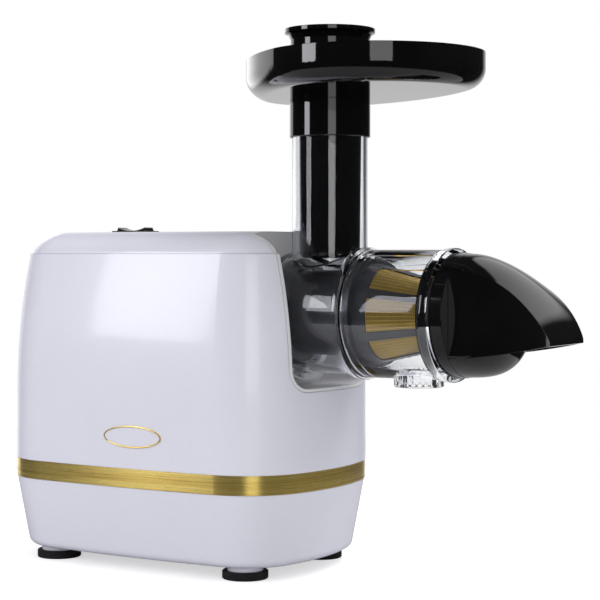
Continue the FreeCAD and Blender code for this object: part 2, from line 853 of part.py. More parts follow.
def make_board_bracket():
    """A plate from the gear case to the motor's rear shield, which carries the board."""
    x0 = stator_back - shield_gap - shield_thickness
    top = bracket_height + bracket_thickness
    plate = block(x0 - 4, case_back, -36, 36, bracket_height, top)
    legs = [block(x0, x0 + shield_thickness, y - 4, y + 4, motor_height + stator_half, top) for y in (-20, 20)]
    return fuse_all([plate] + legs)


def capacitor_body(x0, x1):
    return cylinder_x(capacitor_radius, x0, x1, bracket_height - capacitor_radius - 3)


def make_capacitor():
    body = capacitor_body(-62, -18)
    return body.makeFillet(1.5, [e for e in body.Edges if e.Curve.TypeId == "Part::GeomCircle"])


def make_capacitor_clip():
    half = capacitor_radius + 1.6
    clip = block(-44, -36, -half, half, bracket_height - capacitor_radius - 6, bracket_height)
    return clip.cut(capacitor_body(-60, -20))


# Drum

def wedge(x0, x1, radius, centre, width):
    """A sector about the drive axis, for lugs and gaps. Angles are in degrees from +Z."""
    steps = [centre - width / 2, centre + width / 2]
    rim = [math.radians(a) for a in (steps[0], centre, steps[1])]
    p = [Vector(x0, radius * math.sin(a), drive_height + radius * math.cos(a)) for a in rim]
    middle = Vector(x0, 0, drive_height)
    edges = [Part.LineSegment(middle, p[0]), Part.Arc(p[0], p[1], p[2]), Part.LineSegment(p[2], middle)]
    face = Part.Face(Part.Wire([e.toShape() for e in edges]))
    return face.extrude(Vector(x1 - x0, 0, 0))


def make_dock_ring():
    x0 = recess_back + liner_wall
    x1 = x0 + ring_length
    groove = ring_radius - ring_wall
    lip_start = x1 - lip_length
    shape = ring_x(ring_radius, neck_radius + turn_gap, x0, x1, drive_height)
    shape = shape.cut(ring_x(groove, neck_radius - 1, x0 - 1, lip_start, drive_height))
    for centre in lug_centres:
        gap = wedge(lip_start - 1, x1 + 1, groove, centre - unlock_angle, lug_angle + 2)
        shape = shape.cut(gap)
    top = wedge(x0 - 1, x1 + 1, 60, (ring_open_from + ring_open_to) / 2, ring_open_to - ring_open_from)
    return shape.cut(top)


def make_drum_moulding():
    """The clear moulding in one piece: back wall with its lugs, neck, flange, drum, collar and spout."""
    z = drive_height
    outer = [(drum_back, 0), (drum_back, neck_radius), (flange_x, neck_radius), (flange_x, flange_radius),
             (flange_x + flange_length, flange_radius), (flange_x + flange_length, drum_radius),
             (collar_x, drum_radius), (collar_x, collar_back_radius), (collar_x + collar_slope, collar_radius),
             (drum_front, collar_radius), (drum_front, 0)]
    shape = turned(outer)
    shape = shape.fuse(make_spout())
    for centre in lug_centres:
        lug = wedge(lug_start, lug_start + lug_length, lug_radius, centre, lug_angle)
        shape = shape.fuse(lug)
    bore = [(drum_back + back_wall, 0), (drum_back + back_wall, neck_bore), (flange_x + 2, neck_bore),
            (flange_x + 5, drum_bore), (drum_front + 1, drum_bore), (drum_front + 1, 0)]
    shape = shape.cut(turned(bore))
    shape = shape.cut(cylinder_x(boss_bore, drum_back - 1, drum_back + back_wall + 1, z))
    shape = shape.cut(cylinder_z(chute_bore, z, chute_top + 1, chute_x))
    shape = shape.cut(cylinder_z(spout_bore, spout_bottom - 1, z - drum_bore + 4, spout_x))
    return shape.removeSplitter()


def length_of_drum(moulding, x0, x1):
    """One length of the clear moulding, between two planes across it."""
    return moulding.common(block(x0, x1, -60, 60, 100, 230))


def build_drum():
    moulding = make_drum_moulding()
    behind_neck = lug_start + lug_length + 1.0
    parts["drum_rear"] = length_of_drum(moulding, drum_back - 1, behind_neck)
    parts["drum_neck"] = length_of_drum(moulding, behind_neck + joint_gap, flange_x - joint_gap)
    parts["drum_housing"] = length_of_drum(moulding, flange_x, drum_front + 1)


def make_feed_chute():
    """The clear feed tube, which stands on the neck and its flange."""
    shape = ring_z(chute_radius, chute_bore, drive_height, chute_top, chute_x)
    shape = shape.makeChamfer(0.5, [e for e in shape.Edges if e.BoundBox.ZMin > chute_top - 0.1])
    return shape.cut(cylinder_x(neck_radius + joint_gap, drum_back - 1, flange_x + 10, drive_height))


def make_drum_seal():
    x0 = drum_back
    return ring_x(boss_bore - 0.05, 10.0 + turn_gap, x0, x0 + back_wall, drive_height)


def make_spout():
    """The juice spout's collar: a plain lip at the bottom and fluted sides above it."""
    top = drive_height - drum_bore + 4
    shape = cylinder_z(spout_radius, spout_bottom, top, spout_x)
    shape = shape.makeChamfer(0.8, [e for e in shape.Edges if e.BoundBox.ZMax < spout_bottom + 0.1])
    for k in range(spout_rib_count):
        angle = 2 * math.pi * k / spout_rib_count
        x = spout_x + spout_radius * math.cos(angle)
        y = spout_radius * math.sin(angle)
        shape = shape.cut(cylinder_z(spout_rib_depth, spout_bottom + spout_lip, top + 1, x, y))
    return shape


# Strainer

def strainer_radius(x):
    t = (x - strainer_back) / (strainer_front - strainer_back)
    return strainer_back_radius + (strainer_front_radius - strainer_back_radius) * t


def cone_shell(x0, x1, out_offset, in_offset):
    points = [(x0, strainer_radius(x0) + out_offset), (x1, strainer_radius(x1) + out_offset),
              (x1, strainer_radius(x1) + in_offset), (x0, strainer_radius(x0) + in_offset)]
    return turned(points)


def window_centres():
    return [strainer_window_first - 360 * k / strainer_window_count for k in range(strainer_window_count)]


def make_strainer_frame():
    shape = cone_shell(strainer_back, strainer_front, 0, -strainer_wall)
    seat = ring_x(drum_fit_radius, strainer_back_radius - strainer_wall, strainer_back - 3, strainer_back + 0.5,
                  drive_height)
    shape = shape.fuse(seat)
    for centre in window_centres():
        window = wedge(strainer_window_start, strainer_window_end, 40, centre, strainer_window_angle)
        shape = shape.cut(window)
    return shape.removeSplitter()


def make_strainer_mesh():
    middle = -strainer_wall / 2
    panels = []
    shell = cone_shell(strainer_window_start + 0.1, strainer_window_end - 0.1, middle + mesh_wall, middle)
    for centre in window_centres():
        panel = wedge(strainer_window_start, strainer_window_end, 40, centre, strainer_window_angle - 0.3)
        panels.append(shell.common(panel))
    return Part.makeCompound(panels)


# Auger

def flight(radius0, radius1, x0, length, pitch, thickness, depth):
    """A screw flight about the drive axis, wound from x0 along +X."""
    lean = math.degrees(math.atan((radius1 - radius0) / length))
    helix = Part.makeHelix(pitch, length, radius0, lean)
    inner = radius0 - depth
    half = thickness / 2
    profile = Part.makePolygon([Vector(inner, 0, -half * 1.25), Vector(radius0, 0, -half * 0.7),
                                Vector(radius0, 0, half * 0.7), Vector(inner, 0, half * 1.25),
                                Vector(inner, 0, -half * 1.25)])
    body = Part.Wire(helix.Edges).makePipeShell([profile], True, True)
    body.rotate(Vector(0, 0, 0), Vector(0, 1, 0), 90)
    body.translate(Vector(x0, 0, drive_height))
    return Part.Solid(body) if body.ShapeType == "Shell" else body


def make_auger():
    limit = neck_bore - 0.5
    end = auger_end
    inner_back = strainer_radius(strainer_back) - strainer_wall - 1.0
    inner_front = strainer_radius(end) - strainer_wall - 1.0
    core = [(drum_back - 0.6, 0), (drum_back - 0.6, 10.0), (auger_start, 10.0), (auger_start, auger_neck_core + 8),
            (auger_start + 3, auger_neck_core + 8), (auger_start + 8, auger_neck_core),
            (strainer_back - 7, auger_neck_core), (strainer_back, auger_core_end), (end, auger_tip_core), (end + 3, auger_tip_core - 3),
            (end + 3, auger_pin_radius), (strainer_front - 1, auger_pin_radius), (strainer_front - 1, 0)]
    shape = turned(core)
    neck = flight(limit, limit, auger_start + 6, strainer_back - auger_start - 14, flight_pitch,
                  flight_thickness, limit - auger_neck_core + 1.5)
    cone = flight(inner_back - 0.6, inner_front, strainer_back + 1, end - strainer_back - 4, cone_pitch,
                  cone_flight_thickness, inner_back - auger_core_end + 1.2)
    neck = neck.common(cylinder_x(limit, drum_back, strainer_back, drive_height))
    cone = cone.common(turned([(strainer_back - 2, 0), (strainer_back - 2, inner_back), (end, inner_front), (end, 0)]))
    shape = shape.fuse(neck).fuse(cone)
    half = auger_socket_half
    socket = block(drum_back - 2, drum_back + auger_socket_depth + 3, -half, half, drive_height - half, drive_height + half)
    return shape.cut(socket)


# End cap and hood

def nose_x():
    return drum_front + nose_length


def nose_radius(x):
    """Radius of the cap's closed nose: a long quarter ellipse that ends blunt."""
    t = (x - drum_front) / nose_length
    return (cap_flange_radius - nose_inset) * (1 - min(1.0, max(0.0, t)) ** 3.6) ** 0.25


def make_nose():
    xs = spread(drum_front + 0.3, nose_x() - 0.35, 14)
    upper = Part.BSplineCurve()
    upper.interpolate([Vector(x, 0, drive_height + nose_radius(x)) for x in xs])
    back = Vector(xs[0], 0, drive_height)
    front = Vector(xs[-1], 0, drive_height)
    first = upper.value(upper.FirstParameter)
    last = upper.value(upper.LastParameter)
    edges = [upper.toShape(), Part.LineSegment(last, front).toShape(), Part.LineSegment(front, back).toShape(),
             Part.LineSegment(back, first).toShape()]
    return Part.Face(Part.Wire(edges)).revolve(Vector(0, 0, drive_height), Vector(1, 0, 0), 360)


def hood_heights(x):
    """Bottom edge, crease and crown of the hood at a place along X."""
    t = min(1.0, max(0.0, (x - hood_start) / (hood_tip_x - hood_start)))
    bottom = 138.4 + 9.0 * t ** 1.6
    crown = 148.6 + 52.0 * (1 - t ** 1.92) ** 0.76
    crease = 148.2 + 42.1 * (1 - t ** 2.33) ** 0.78
    return bottom, min(crease, crown - 0.5), crown


def hood_half(x):
    """Half width of the hood, which narrows a little towards its tip."""
    t = min(1.0, max(0.0, (x - hood_narrows_x) / (hood_tip_x - hood_narrows_x)))
    return hood_half_width - (hood_half_width - hood_tip_half_width) * t ** 2


def hood_section(x, depth, lower):
    """Outline of the hood, or of a form that lies a depth inside it, at a place along X."""
    side = hood_half(x) - depth
    bottom, crease, crown = hood_heights(x + 0.75 * depth)
    bottom -= lower
    crease = max(crease - 0.75 * depth, bottom + 0.4)
    crown = max(crown - 0.75 * depth, crease + 0.3)
    edges = [Part.LineSegment(Vector(x, -side, bottom), Vector(x, -side, crease)),
             Part.Arc(Vector(x, -side, crease), Vector(x, 0, crown), Vector(x, side, crease)),
             Part.LineSegment(Vector(x, side, crease), Vector(x, side, bottom)),
             Part.LineSegment(Vector(x, side, bottom), Vector(x, -side, bottom))]
    return Part.Wire([e.toShape() for e in edges])


def hood_places(end):
    span = end - hood_start
    return [hood_start + span * f for f in (0.0, 0.15, 0.3, 0.45, 0.6, 0.72, 0.82, 0.9, 0.96, 1.0)]


def hood_form(depth, lower, end):
    places = [x - 0.01 * min(1.0, lower) for x in hood_places(end)]
    return Part.makeLoft([hood_section(x, depth, lower) for x in places], True, False)


def make_end_cap():
    """The cap: a flange, a spigot in the drum, a closed nose and the pulp's way out through it."""
    z = drive_height
    x0 = drum_front + 0.3
    flange = cylinder_x(cap_flange_radius, x0, x0 + cap_flange_length, z)
    flange = flange.makeFillet(0.8 * nose_inset, [e for e in flange.Edges if e.BoundBox.XMin > x0 + 1])
    spigot = cylinder_x(drum_bore - turn_gap, x0 - cap_spigot_length, x0 + 1, z)
    side = hood_half_width - hood_wall - joint_gap
    nose = make_nose()
    under = nose.common(block(x0 - 20, 300, -60, 60, 0, 140.5))
    back = nose.common(block(x0 - 20, x0 + cap_flange_length, -60, 60, 0, 300))
    nose = nose.common(hood_form(hood_wall + joint_gap, 80, hood_tip_x - 4)).fuse(under).fuse(back)
    inside = drum_bore - turn_gap - cap_wall
    clear = turned([(x0 - cap_spigot_length - 1, 0), (x0 - cap_spigot_length - 1, inside), (x0 + 4, inside), (x0 + 4, 0)])
    reach = strainer_radius(strainer_front - cap_socket_length) + turn_gap
    socket = ring_x(reach + cap_socket_wall, reach, strainer_front - cap_socket_length, x0 + 4.5, z)
    tube = reach + cap_socket_wall
    face = x0 + cap_flange_length - cap_wall
    room = side - cap_wall
    pipe = outlet_radius + cap_wall
    hollow = [(x0 + 1, tube), (x0 + 1, inside - 1.2), (face, inside - 1.2), (face, room),
              (nose_x() - 10, room), (nose_x() - 8, pipe), (face, pipe), (face, tube)]
    shape = flange.fuse(spigot).fuse(nose)
    shape = shape.cut(turned(hollow)).cut(clear)
    shape = shape.fuse(socket)
    return shape.cut(cylinder_x(outlet_radius, x0 - 20, nose_x() + 1, z))


def make_pulp_hood(cap):
    """The hood over the nose: two flat sides and a crowned top, open at the bottom."""
    outer = hood_form(0, 0, hood_tip_x - 0.4)
    inner = hood_form(hood_wall, 12, hood_tip_x - 3)
    start = drum_front + 0.3 + cap_flange_length
    shape = outer.cut(inner).cut(block(0, start + joint_gap, -60, 60, 0, 300)).cut(cap)
    return max(shape.Solids, key=lambda solid: solid.Volume)


def make_cap_bush():
    x0 = strainer_front - 5
    bush = ring_x(7.0, auger_pin_radius + 0.08, x0, x0 + 4.4, drive_height)
    arms = []
    for k in range(3):
        arm = block(x0 + 0.4, x0 + 4.0, -1.5, 1.5, drive_height + 6, drive_height + strainer_radius(x0 + 4) - strainer_wall - 0.1)
        arm.rotate(Vector(0, 0, drive_height), Vector(1, 0, 0), 120 * k)
        arms.append(arm)
    return fuse_all([bush] + arms)


# Tray and pusher

def tray_outline(inset, z):
    """Plan outline of the tray: a small arc, a large arc and two long side arcs."""
    turn = math.radians(tray_turn)
    along = Vector(math.cos(turn), math.sin(turn), 0)
    across = Vector(-math.sin(turn), math.cos(turn), 0)
    origin = Vector(chute_x, 0, z)
    near, far = -tray_small_shift, tray_large_shift
    small = tray_small_radius - inset
    large = tray_large_radius - inset
    side = tray_side_radius - inset
    a = tray_side_radius - tray_small_radius
    b = tray_side_radius - tray_large_radius
    span = far - near
    u = (a * a - b * b + span * span) / (2 * span)
    v = math.sqrt(a * a - u * u)

    def at(x, y):
        return origin + along * x + across * y

    def rim(cx, cy, px, py, radius):
        length = math.hypot(px - cx, py - cy)
        return at(px + (px - cx) / length * radius, py + (py - cy) / length * radius)

    ends = {}
    for s in (1, -1):
        ends[s] = (rim(near + u, -s * v, near, 0, small), rim(near + u, -s * v, far, 0, large))
    top_mid = at(near + u, -v + side)
    low_mid = at(near + u, v - side)
    edges = [Part.Arc(ends[1][0], at(near - small, 0), ends[-1][0]),
             Part.Arc(ends[-1][0], low_mid, ends[-1][1]),
             Part.Arc(ends[-1][1], at(far + large, 0), ends[1][1]),
             Part.Arc(ends[1][1], top_mid, ends[1][0])]
    return Part.Wire([e.toShape() for e in edges])


def tray_body(inset, z0, z1, fillet):
    """The tray's bowl form: a rounded bottom edge and an upright wall."""
    wires = []
    for k in range(7):
        angle = math.radians(15 * k)
        wires.append(tray_outline(inset + fillet * (1 - math.sin(angle)), z0 + fillet * (1 - math.cos(angle))))
    lower = Part.makeLoft(wires, True, False)
    upper = Part.makeLoft([tray_outline(inset, z0 + fillet), tray_outline(inset, z1)], True, True)
    return lower.fuse(upper)


def make_tray():
    shape = tray_body(0, tray_bottom, tray_rim, tray_fillet)
    shape = shape.cut(tray_body(tray_wall, tray_bottom + tray_wall, tray_rim + 1, tray_fillet - tray_wall))
    return shape.cut(cylinder_z(tray_hole_radius, chute_top - 1, tray_rim, chute_x))


def make_tray_collar():
    """The sleeve under the tray, which drops over the top of the chute."""
    shape = ring_z(tray_collar_radius, tray_hole_radius, tray_collar_bottom, tray_bottom, chute_x)
    shape = shape.cut(cylinder_z(chute_radius + turn_gap, tray_collar_bottom - 1, chute_top + 0.3, chute_x))
    rim = [e for e in shape.Edges if e.BoundBox.ZMax < tray_collar_bottom + 0.1 and e.BoundBox.XLength > 2 * chute_radius + 2]
    return shape.makeChamfer(0.6, rim)


def make_pusher():
    seat = tray_bottom + tray_wall + 0.3
    low = pusher_bottom
    outer = [(0, low), (pusher_tip_radius - pusher_tip_round, low),
             (pusher_tip_radius - 1, low + 1), (pusher_tip_radius, low + pusher_tip_round),
             (pusher_radius, seat), (pusher_head_radius - 0.6, seat), (pusher_head_radius, pusher_flare_bottom),
             (pusher_head_radius + 1.4, pusher_rim_bottom - 1.2), (pusher_rim_radius, pusher_rim_bottom),
             (pusher_rim_radius, pusher_top), (0, pusher_top)]
    w = pusher_wall
    inner = [(0, low + w), (pusher_tip_radius - w, low + w), (pusher_radius - w, seat + w),
             (pusher_head_radius - 0.6 - w, seat + w + 1), (pusher_head_radius - w, pusher_flare_bottom),
             (pusher_head_radius, pusher_top + 0.5), (0, pusher_top + 0.5)]
    return turned_upright(outer, chute_x).cut(turned_upright(inner, chute_x))


# Everything

def build():
    parts["lower_housing"] = make_lower_housing()
    parts["gold_band"] = make_gold_band()
    parts["upper_housing"] = make_upper_housing()
    parts["top_cover"] = make_top_cover()
    parts["dock_liner"] = make_dock_liner()
    parts["dock_ring"] = make_dock_ring()
    names = ["foot_rear_near", "foot_rear_far", "foot_front_near", "foot_front_far"]
    for name, (x, y) in zip(names, foot_places):
        parts[name] = make_foot(x, y)
    head_z = inner_floor + 2.5 - screw_head_height
    parts["base_screws"] = Part.makeCompound([screw_z(x, y, head_z, 38) for x, y in post_places])
    parts["switch_bezel"] = make_bezel()
    parts["rocker_switch"] = make_rocker()
    parts["switch_module"] = make_switch_module()
    parts["power_inlet"] = make_power_inlet()
    parts["inlet_pins"] = make_inlet_pins()
    build_motor()
    build_gear_train()
    build_juicing_parts()


def build_motor():
    back = stator_back - shield_gap - shield_thickness
    front = stator_front + shield_gap
    parts["stator_core"] = make_stator()
    parts["stator_windings"] = make_windings()
    parts["motor_shield_rear"] = shield(back)
    parts["motor_shield_front"] = shield(front)
    parts["motor_bolts"] = make_motor_bolts()
    parts["motor_mounts"] = make_motor_mounts()
    parts["rotor_core"] = make_rotor()
    parts["motor_shaft"] = make_motor_shaft()
    parts["cooling_fan"] = make_fan()
    middle = (shield_thickness - small_bearing_width) / 2
    parts["motor_bearing_rear"] = bearing(back + middle, small_bearing_width, small_bearing_radius,
                                          motor_shaft_radius, motor_height)
    parts["motor_bearing_front"] = bearing(front + middle, small_bearing_width, small_bearing_radius,
                                           motor_shaft_radius, motor_height)
    parts["control_board"] = make_control_board()
    parts["board_bracket"] = make_board_bracket()
    parts["run_capacitor"] = make_capacitor()
    parts["capacitor_clip"] = make_capacitor_clip()


def build_gear_train():
    parts["motor_pinion"] = make_motor_pinion()
    parts["reduction_gear"] = make_reduction_gear()
    parts["reduction_pinion"] = make_reduction_pinion()
    parts["reduction_shaft"] = make_reduction_shaft()
    parts["output_gear"] = make_output_gear()
    parts["output_shaft"] = make_output_shaft()
    parts["gear_case"] = make_gear_case()
    parts["gear_case_cover"] = make_case_cover()
    parts["gear_case_screws"] = make_case_screws()
    parts["shaft_seal"] = make_shaft_seal()
    rear = case_back + 1.2
    front = case_front - case_wall + 0.0
    parts["reduction_bearing_rear"] = bearing(rear, small_bearing_width, small_bearing_radius,
                                              reduction_shaft_radius, reduction_height)
    parts["reduction_bearing_front"] = bearing(front, small_bearing_width, small_bearing_radius,
                                               reduction_shaft_radius, reduction_height)
    parts["output_bearing_rear"] = bearing(rear, output_bearing_width, output_bearing_radius,
                                           output_shaft_radius, drive_height)
    parts["output_bearing_front"] = bearing(recess_back - 0.3 - 9 - output_bearing_width, output_bearing_width,
                                            output_bearing_radius, output_shaft_radius, drive_height)


def build_juicing_parts():
    build_drum()
    parts["feed_chute"] = make_feed_chute()
    parts["drum_seal"] = make_drum_seal()
    parts["auger"] = make_auger()
    parts["strainer_frame"] = make_strainer_frame()
    parts["strainer_mesh"] = make_strainer_mesh()
    parts["end_cap"] = make_end_cap()
    parts["pulp_hood"] = make_pulp_hood(parts["end_cap"])
    parts["cap_bush"] = make_cap_bush()
    parts["feed_tray"] = make_tray()
    parts["tray_collar"] = make_tray_collar()
    parts["pusher"] = make_pusher()


def export_parts():
    os.makedirs("parts", exist_ok=True)
    for name, shape in parts.items():
        solids = shape.Solids
        volume = sum(s.Volume for s in solids)
        bad = "" if shape.isValid() and all(s.isValid() for s in solids) else " NOT VALID"
        print(f"{name}: {len(solids)} solid, {volume / 1000:.2f} cm3{bad}")
        final = solids[0] if len(solids) == 1 else Part.makeCompound(solids)
        final.exportStep(f"parts/{name}.step")


build()
export_parts()
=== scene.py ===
import json
import math
import bmesh
import bpy
from mathutils import Matrix, Vector


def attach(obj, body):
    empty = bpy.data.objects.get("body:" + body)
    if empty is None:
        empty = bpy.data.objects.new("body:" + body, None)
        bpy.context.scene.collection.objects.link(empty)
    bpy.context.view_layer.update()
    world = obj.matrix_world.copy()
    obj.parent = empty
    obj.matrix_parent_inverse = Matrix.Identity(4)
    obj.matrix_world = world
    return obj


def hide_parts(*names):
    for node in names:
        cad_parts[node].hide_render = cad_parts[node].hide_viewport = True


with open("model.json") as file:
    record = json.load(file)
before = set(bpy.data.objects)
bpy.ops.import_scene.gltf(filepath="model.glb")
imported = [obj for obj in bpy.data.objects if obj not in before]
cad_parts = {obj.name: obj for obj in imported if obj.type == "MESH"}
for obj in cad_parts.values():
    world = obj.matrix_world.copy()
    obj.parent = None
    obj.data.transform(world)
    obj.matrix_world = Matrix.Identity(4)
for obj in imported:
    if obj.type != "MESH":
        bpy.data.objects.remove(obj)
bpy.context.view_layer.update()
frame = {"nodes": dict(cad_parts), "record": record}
nodes = frame["nodes"]
scene = bpy.context.scene
scene.view_settings.view_transform = "Standard"

driveHeight = 163  # of the screw's axis over the table, in mm
motorHeight = 71.65  # of the motor's axis


# Shader nodes as plain expressions

def onScreen(red, green, blue):  # a colour as it looks on screen, 0 to 255, in linear light
    values = [c / 255 for c in (red, green, blue)]
    return tuple(((c + 0.055) / 1.055) ** 2.4 if c > 0.04 else c / 12.92 for c in values) + (1.0,)


class Wire:
    # one output socket; arithmetic with it adds Math nodes
    def __init__(self, tree, socket):
        self.tree = tree
        self.socket = socket

    def give(self, inlet, value):
        if isinstance(value, Wire):
            self.tree.links.new(value.socket, inlet)
        else:
            inlet.default_value = value

    def add(self, kind, settings, values, outlet=0):
        node = self.tree.nodes.new(kind)
        for key, value in settings.items():
            setattr(node, key, value)
        for key, value in values.items():
            self.give(node.inputs[key], value)
        return Wire(self.tree, node.outputs[outlet])

    def sum(self, operation, first, second=0.0):
        return self.add("ShaderNodeMath", {"operation": operation}, {0: first, 1: second})

    def __add__(self, other):
        return self.sum("ADD", self, other)

    def __radd__(self, other):
        return self.sum("ADD", other, self)

    def __sub__(self, other):
        return self.sum("SUBTRACT", self, other)

    def __rsub__(self, other):
        return self.sum("SUBTRACT", other, self)

    def __mul__(self, other):
        return self.sum("MULTIPLY", self, other)

    def __pow__(self, other):
        return self.sum("POWER", self, other)

    def wave(self, pitch):  # -1 to 1, once in each pitch
        return self.sum("SINE", self * (2 * math.pi / pitch))

    def stretched(self, x, y, z):
        return self.add("ShaderNodeVectorMath", {"operation": "MULTIPLY"}, {0: self, 1: (x, y, z)})

    def axis(self, which):
        return self.add("ShaderNodeSeparateXYZ", {}, {0: self}, "XYZ".index(which))

    def between(self, low, high, out0=0.0, out1=1.0):
        settings = {"interpolation_type": "SMOOTHSTEP"}
        values = {"Value": self, "From Min": low, "From Max": high, "To Min": out0, "To Max": out1}
        return self.add("ShaderNodeMapRange", settings, values)

    def tints(self, first, second):  # self is the share of the second colour
        return self.add("ShaderNodeMix", {"data_type": "RGBA"}, {0: self, 6: first, 7: second}, 2)

    def grain(self, scale, detail, roughness=0.5):
        values = {"Vector": self, "Scale": scale, "Detail": detail, "Roughness": roughness}
        return self.add("ShaderNodeTexNoise", {"noise_dimensions": "3D"}, values)

    def cells(self, scale):
        return self.add("ShaderNodeTexVoronoi", {"feature": "F1"}, {"Vector": self, "Scale": scale})


class Finish:
    # a material; its even values are set at once, and what varies is added after
    def __init__(self, name, even):
        self.material = bpy.data.materials.new(name)
        self.material.use_nodes = True
        tree = self.material.node_tree
        self.shader = tree.nodes["Principled BSDF"]
        for key, value in even.items():
            self.shader.inputs[key].default_value = value
        self.place = Wire(tree, tree.nodes.new("ShaderNodeTexCoord").outputs["Object"])

    def varies(self, inlet, wire):
        wire.tree.links.new(wire.socket, self.shader.inputs[inlet])

    def relief(self, height, depth, strength, edge=0.0):  # depth and edge in metres
        values = {"Strength": strength, "Distance": depth, "Height": height}
        if edge:
            values["Normal"] = self.place.add("ShaderNodeBevel", {"samples": 4}, {"Radius": edge})
        self.varies("Normal", self.place.add("ShaderNodeBump", {}, values))

    def passesLight(self, tint):  # lamps reach what lies behind a clear wall
        tree = self.place.tree
        path = tree.nodes.new("ShaderNodeLightPath")
        shadow = Wire(tree, path.outputs["Is Shadow Ray"])
        share = shadow.sum("MAXIMUM", shadow, Wire(tree, path.outputs["Is Diffuse Ray"]))
        glass = shadow.add("ShaderNodeBsdfTransparent", {}, {"Color": tint})
        values = {0: share, 1: Wire(tree, self.shader.outputs[0]), 2: glass}
        tree.links.new(shadow.add("ShaderNodeMixShader", {}, values).socket,
                       tree.nodes["Material Output"].inputs["Surface"])


# Finishes

def pearlWhite():
    even = {"Roughness": 0.3, "Coat Weight": 0.55, "Coat Roughness": 0.09, "Specular IOR Level": 0.45}
    finish = Finish("pearlWhiteShell", even)
    flakes = finish.place.cells(2600).between(0.15, 0.75)
    cloud = finish.place.grain(34, 3).between(0.3, 0.7)
    body = (flakes * 0.7 + cloud * 0.12).tints(onScreen(226, 226, 238), onScreen(236, 236, 246))
    lean = finish.place.add("ShaderNodeLayerWeight", {}, {"Blend": 0.35}, 1).between(0.25, 0.95)
    finish.varies("Base Color", (lean * 0.55).tints(body, onScreen(212, 212, 232)))
    finish.varies("Roughness", 0.27 + cloud * 0.03 + flakes * 0.04)
    finish.relief(finish.place.grain(900, 2), 0.00003, 0.35, edge=0.0011)
    return finish.material


def brushedGold():
    even = {"Metallic": 1.0, "Anisotropic": 0.85, "Anisotropic Rotation": 0.25}
    finish = Finish("brushedGold", even)
    fine = finish.place.stretched(14, 14, 5200).grain(1.0, 3, 0.6)
    broad = finish.place.stretched(5, 5, 700).grain(1.0, 2)
    # broad brighter and darker zones along the band are painted reflection, not a real change in the gold's tone
    paintedReflectionZones = finish.place.stretched(1, 1, 0.2).grain(18, 1).between(0.38, 0.62)
    mixed = fine * 0.55 + broad * 0.45
    reflectionZonedGold = paintedReflectionZones.tints(onScreen(196, 160, 76), onScreen(222, 188, 98))
    finish.varies("Base Color", mixed.between(0.36, 0.62).tints(reflectionZonedGold, onScreen(250, 224, 132)))
    finish.varies("Roughness", 0.2 + fine * 0.16)
    finish.relief(fine, 0.00004, 0.4, edge=0.0004)
    return finish.material


def satinGrey():
    finish = Finish("satinGreyDock", {"Specular IOR Level": 0.5, "Coat Weight": 0.2, "Coat Roughness": 0.2})
    sweep = finish.place.grain(26, 3).between(0.3, 0.7)
    finish.varies("Base Color", sweep.tints(onScreen(224, 224, 226), onScreen(233, 233, 235)))
    finish.varies("Roughness", 0.3 + finish.place.grain(700, 2) * 0.16)
    finish.relief(finish.place.grain(1500, 2), 0.00003, 0.5, edge=0.0008)
    return finish.material


def glossBlack():
    even = {"Specular IOR Level": 0.5, "Coat Weight": 0.3, "Coat Roughness": 0.03}
    finish = Finish("glossBlack", even)
    peel = finish.place.grain(90, 2)
    haze = finish.place.grain(22, 3).between(0.35, 0.7)
    finish.varies("Base Color", haze.tints(onScreen(9, 9, 10), onScreen(15, 15, 16)))
    finish.varies("Roughness", 0.045 + haze * 0.035)
    finish.relief(peel, 0.00003, 0.12, edge=0.0007)
    return finish.material


def blackRubber():
    finish = Finish("blackRubber", {"Specular IOR Level": 0.35})
    grain = finish.place.grain(1400, 3)
    dust = finish.place.grain(60, 4).between(0.5, 0.75)
    finish.varies("Base Color", dust.tints(onScreen(24, 24, 25), onScreen(46, 46, 47)))
    finish.varies("Roughness", 0.62 + grain * 0.25)
    finish.relief(grain, 0.0001, 0.6, edge=0.0005)
    return finish.material


def clearPlastic():
    even = {"Transmission Weight": 1.0, "IOR": 1.46, "Specular IOR Level": 0.5}
    finish = Finish("clearPlastic", even)
    haze = finish.place.grain(40, 3).between(0.35, 0.75)
    finish.varies("Base Color", haze.tints(onScreen(252, 253, 255), onScreen(246, 248, 252)))
    finish.varies("Roughness", 0.015 + haze * 0.02)
    finish.passesLight(onScreen(244, 245, 248))
    return finish.material


def darkPlastic():
    finish = Finish("darkSatinPlastic", {"Specular IOR Level": 0.5, "Coat Weight": 0.15, "Coat Roughness": 0.15})
    cloud = finish.place.grain(45, 3).between(0.3, 0.7)
    finish.varies("Base Color", cloud.tints(onScreen(40, 40, 43), onScreen(52, 52, 55)))
    finish.varies("Roughness", 0.3 + finish.place.grain(800, 2) * 0.2)
    finish.relief(finish.place.grain(1300, 2), 0.00004, 0.5, edge=0.0005)
    return finish.material


def mattBlack():
    finish = Finish("mattBlackPlastic", {"Specular IOR Level": 0.4})
    spark = finish.place.cells(1500).between(0.1, 0.7)
    finish.varies("Base Color", spark.tints(onScreen(26, 26, 27), onScreen(38, 38, 39)))
    finish.varies("Roughness", 0.5 + spark * 0.2)
    finish.relief(spark, 0.00008, 0.6, edge=0.0004)
    return finish.material


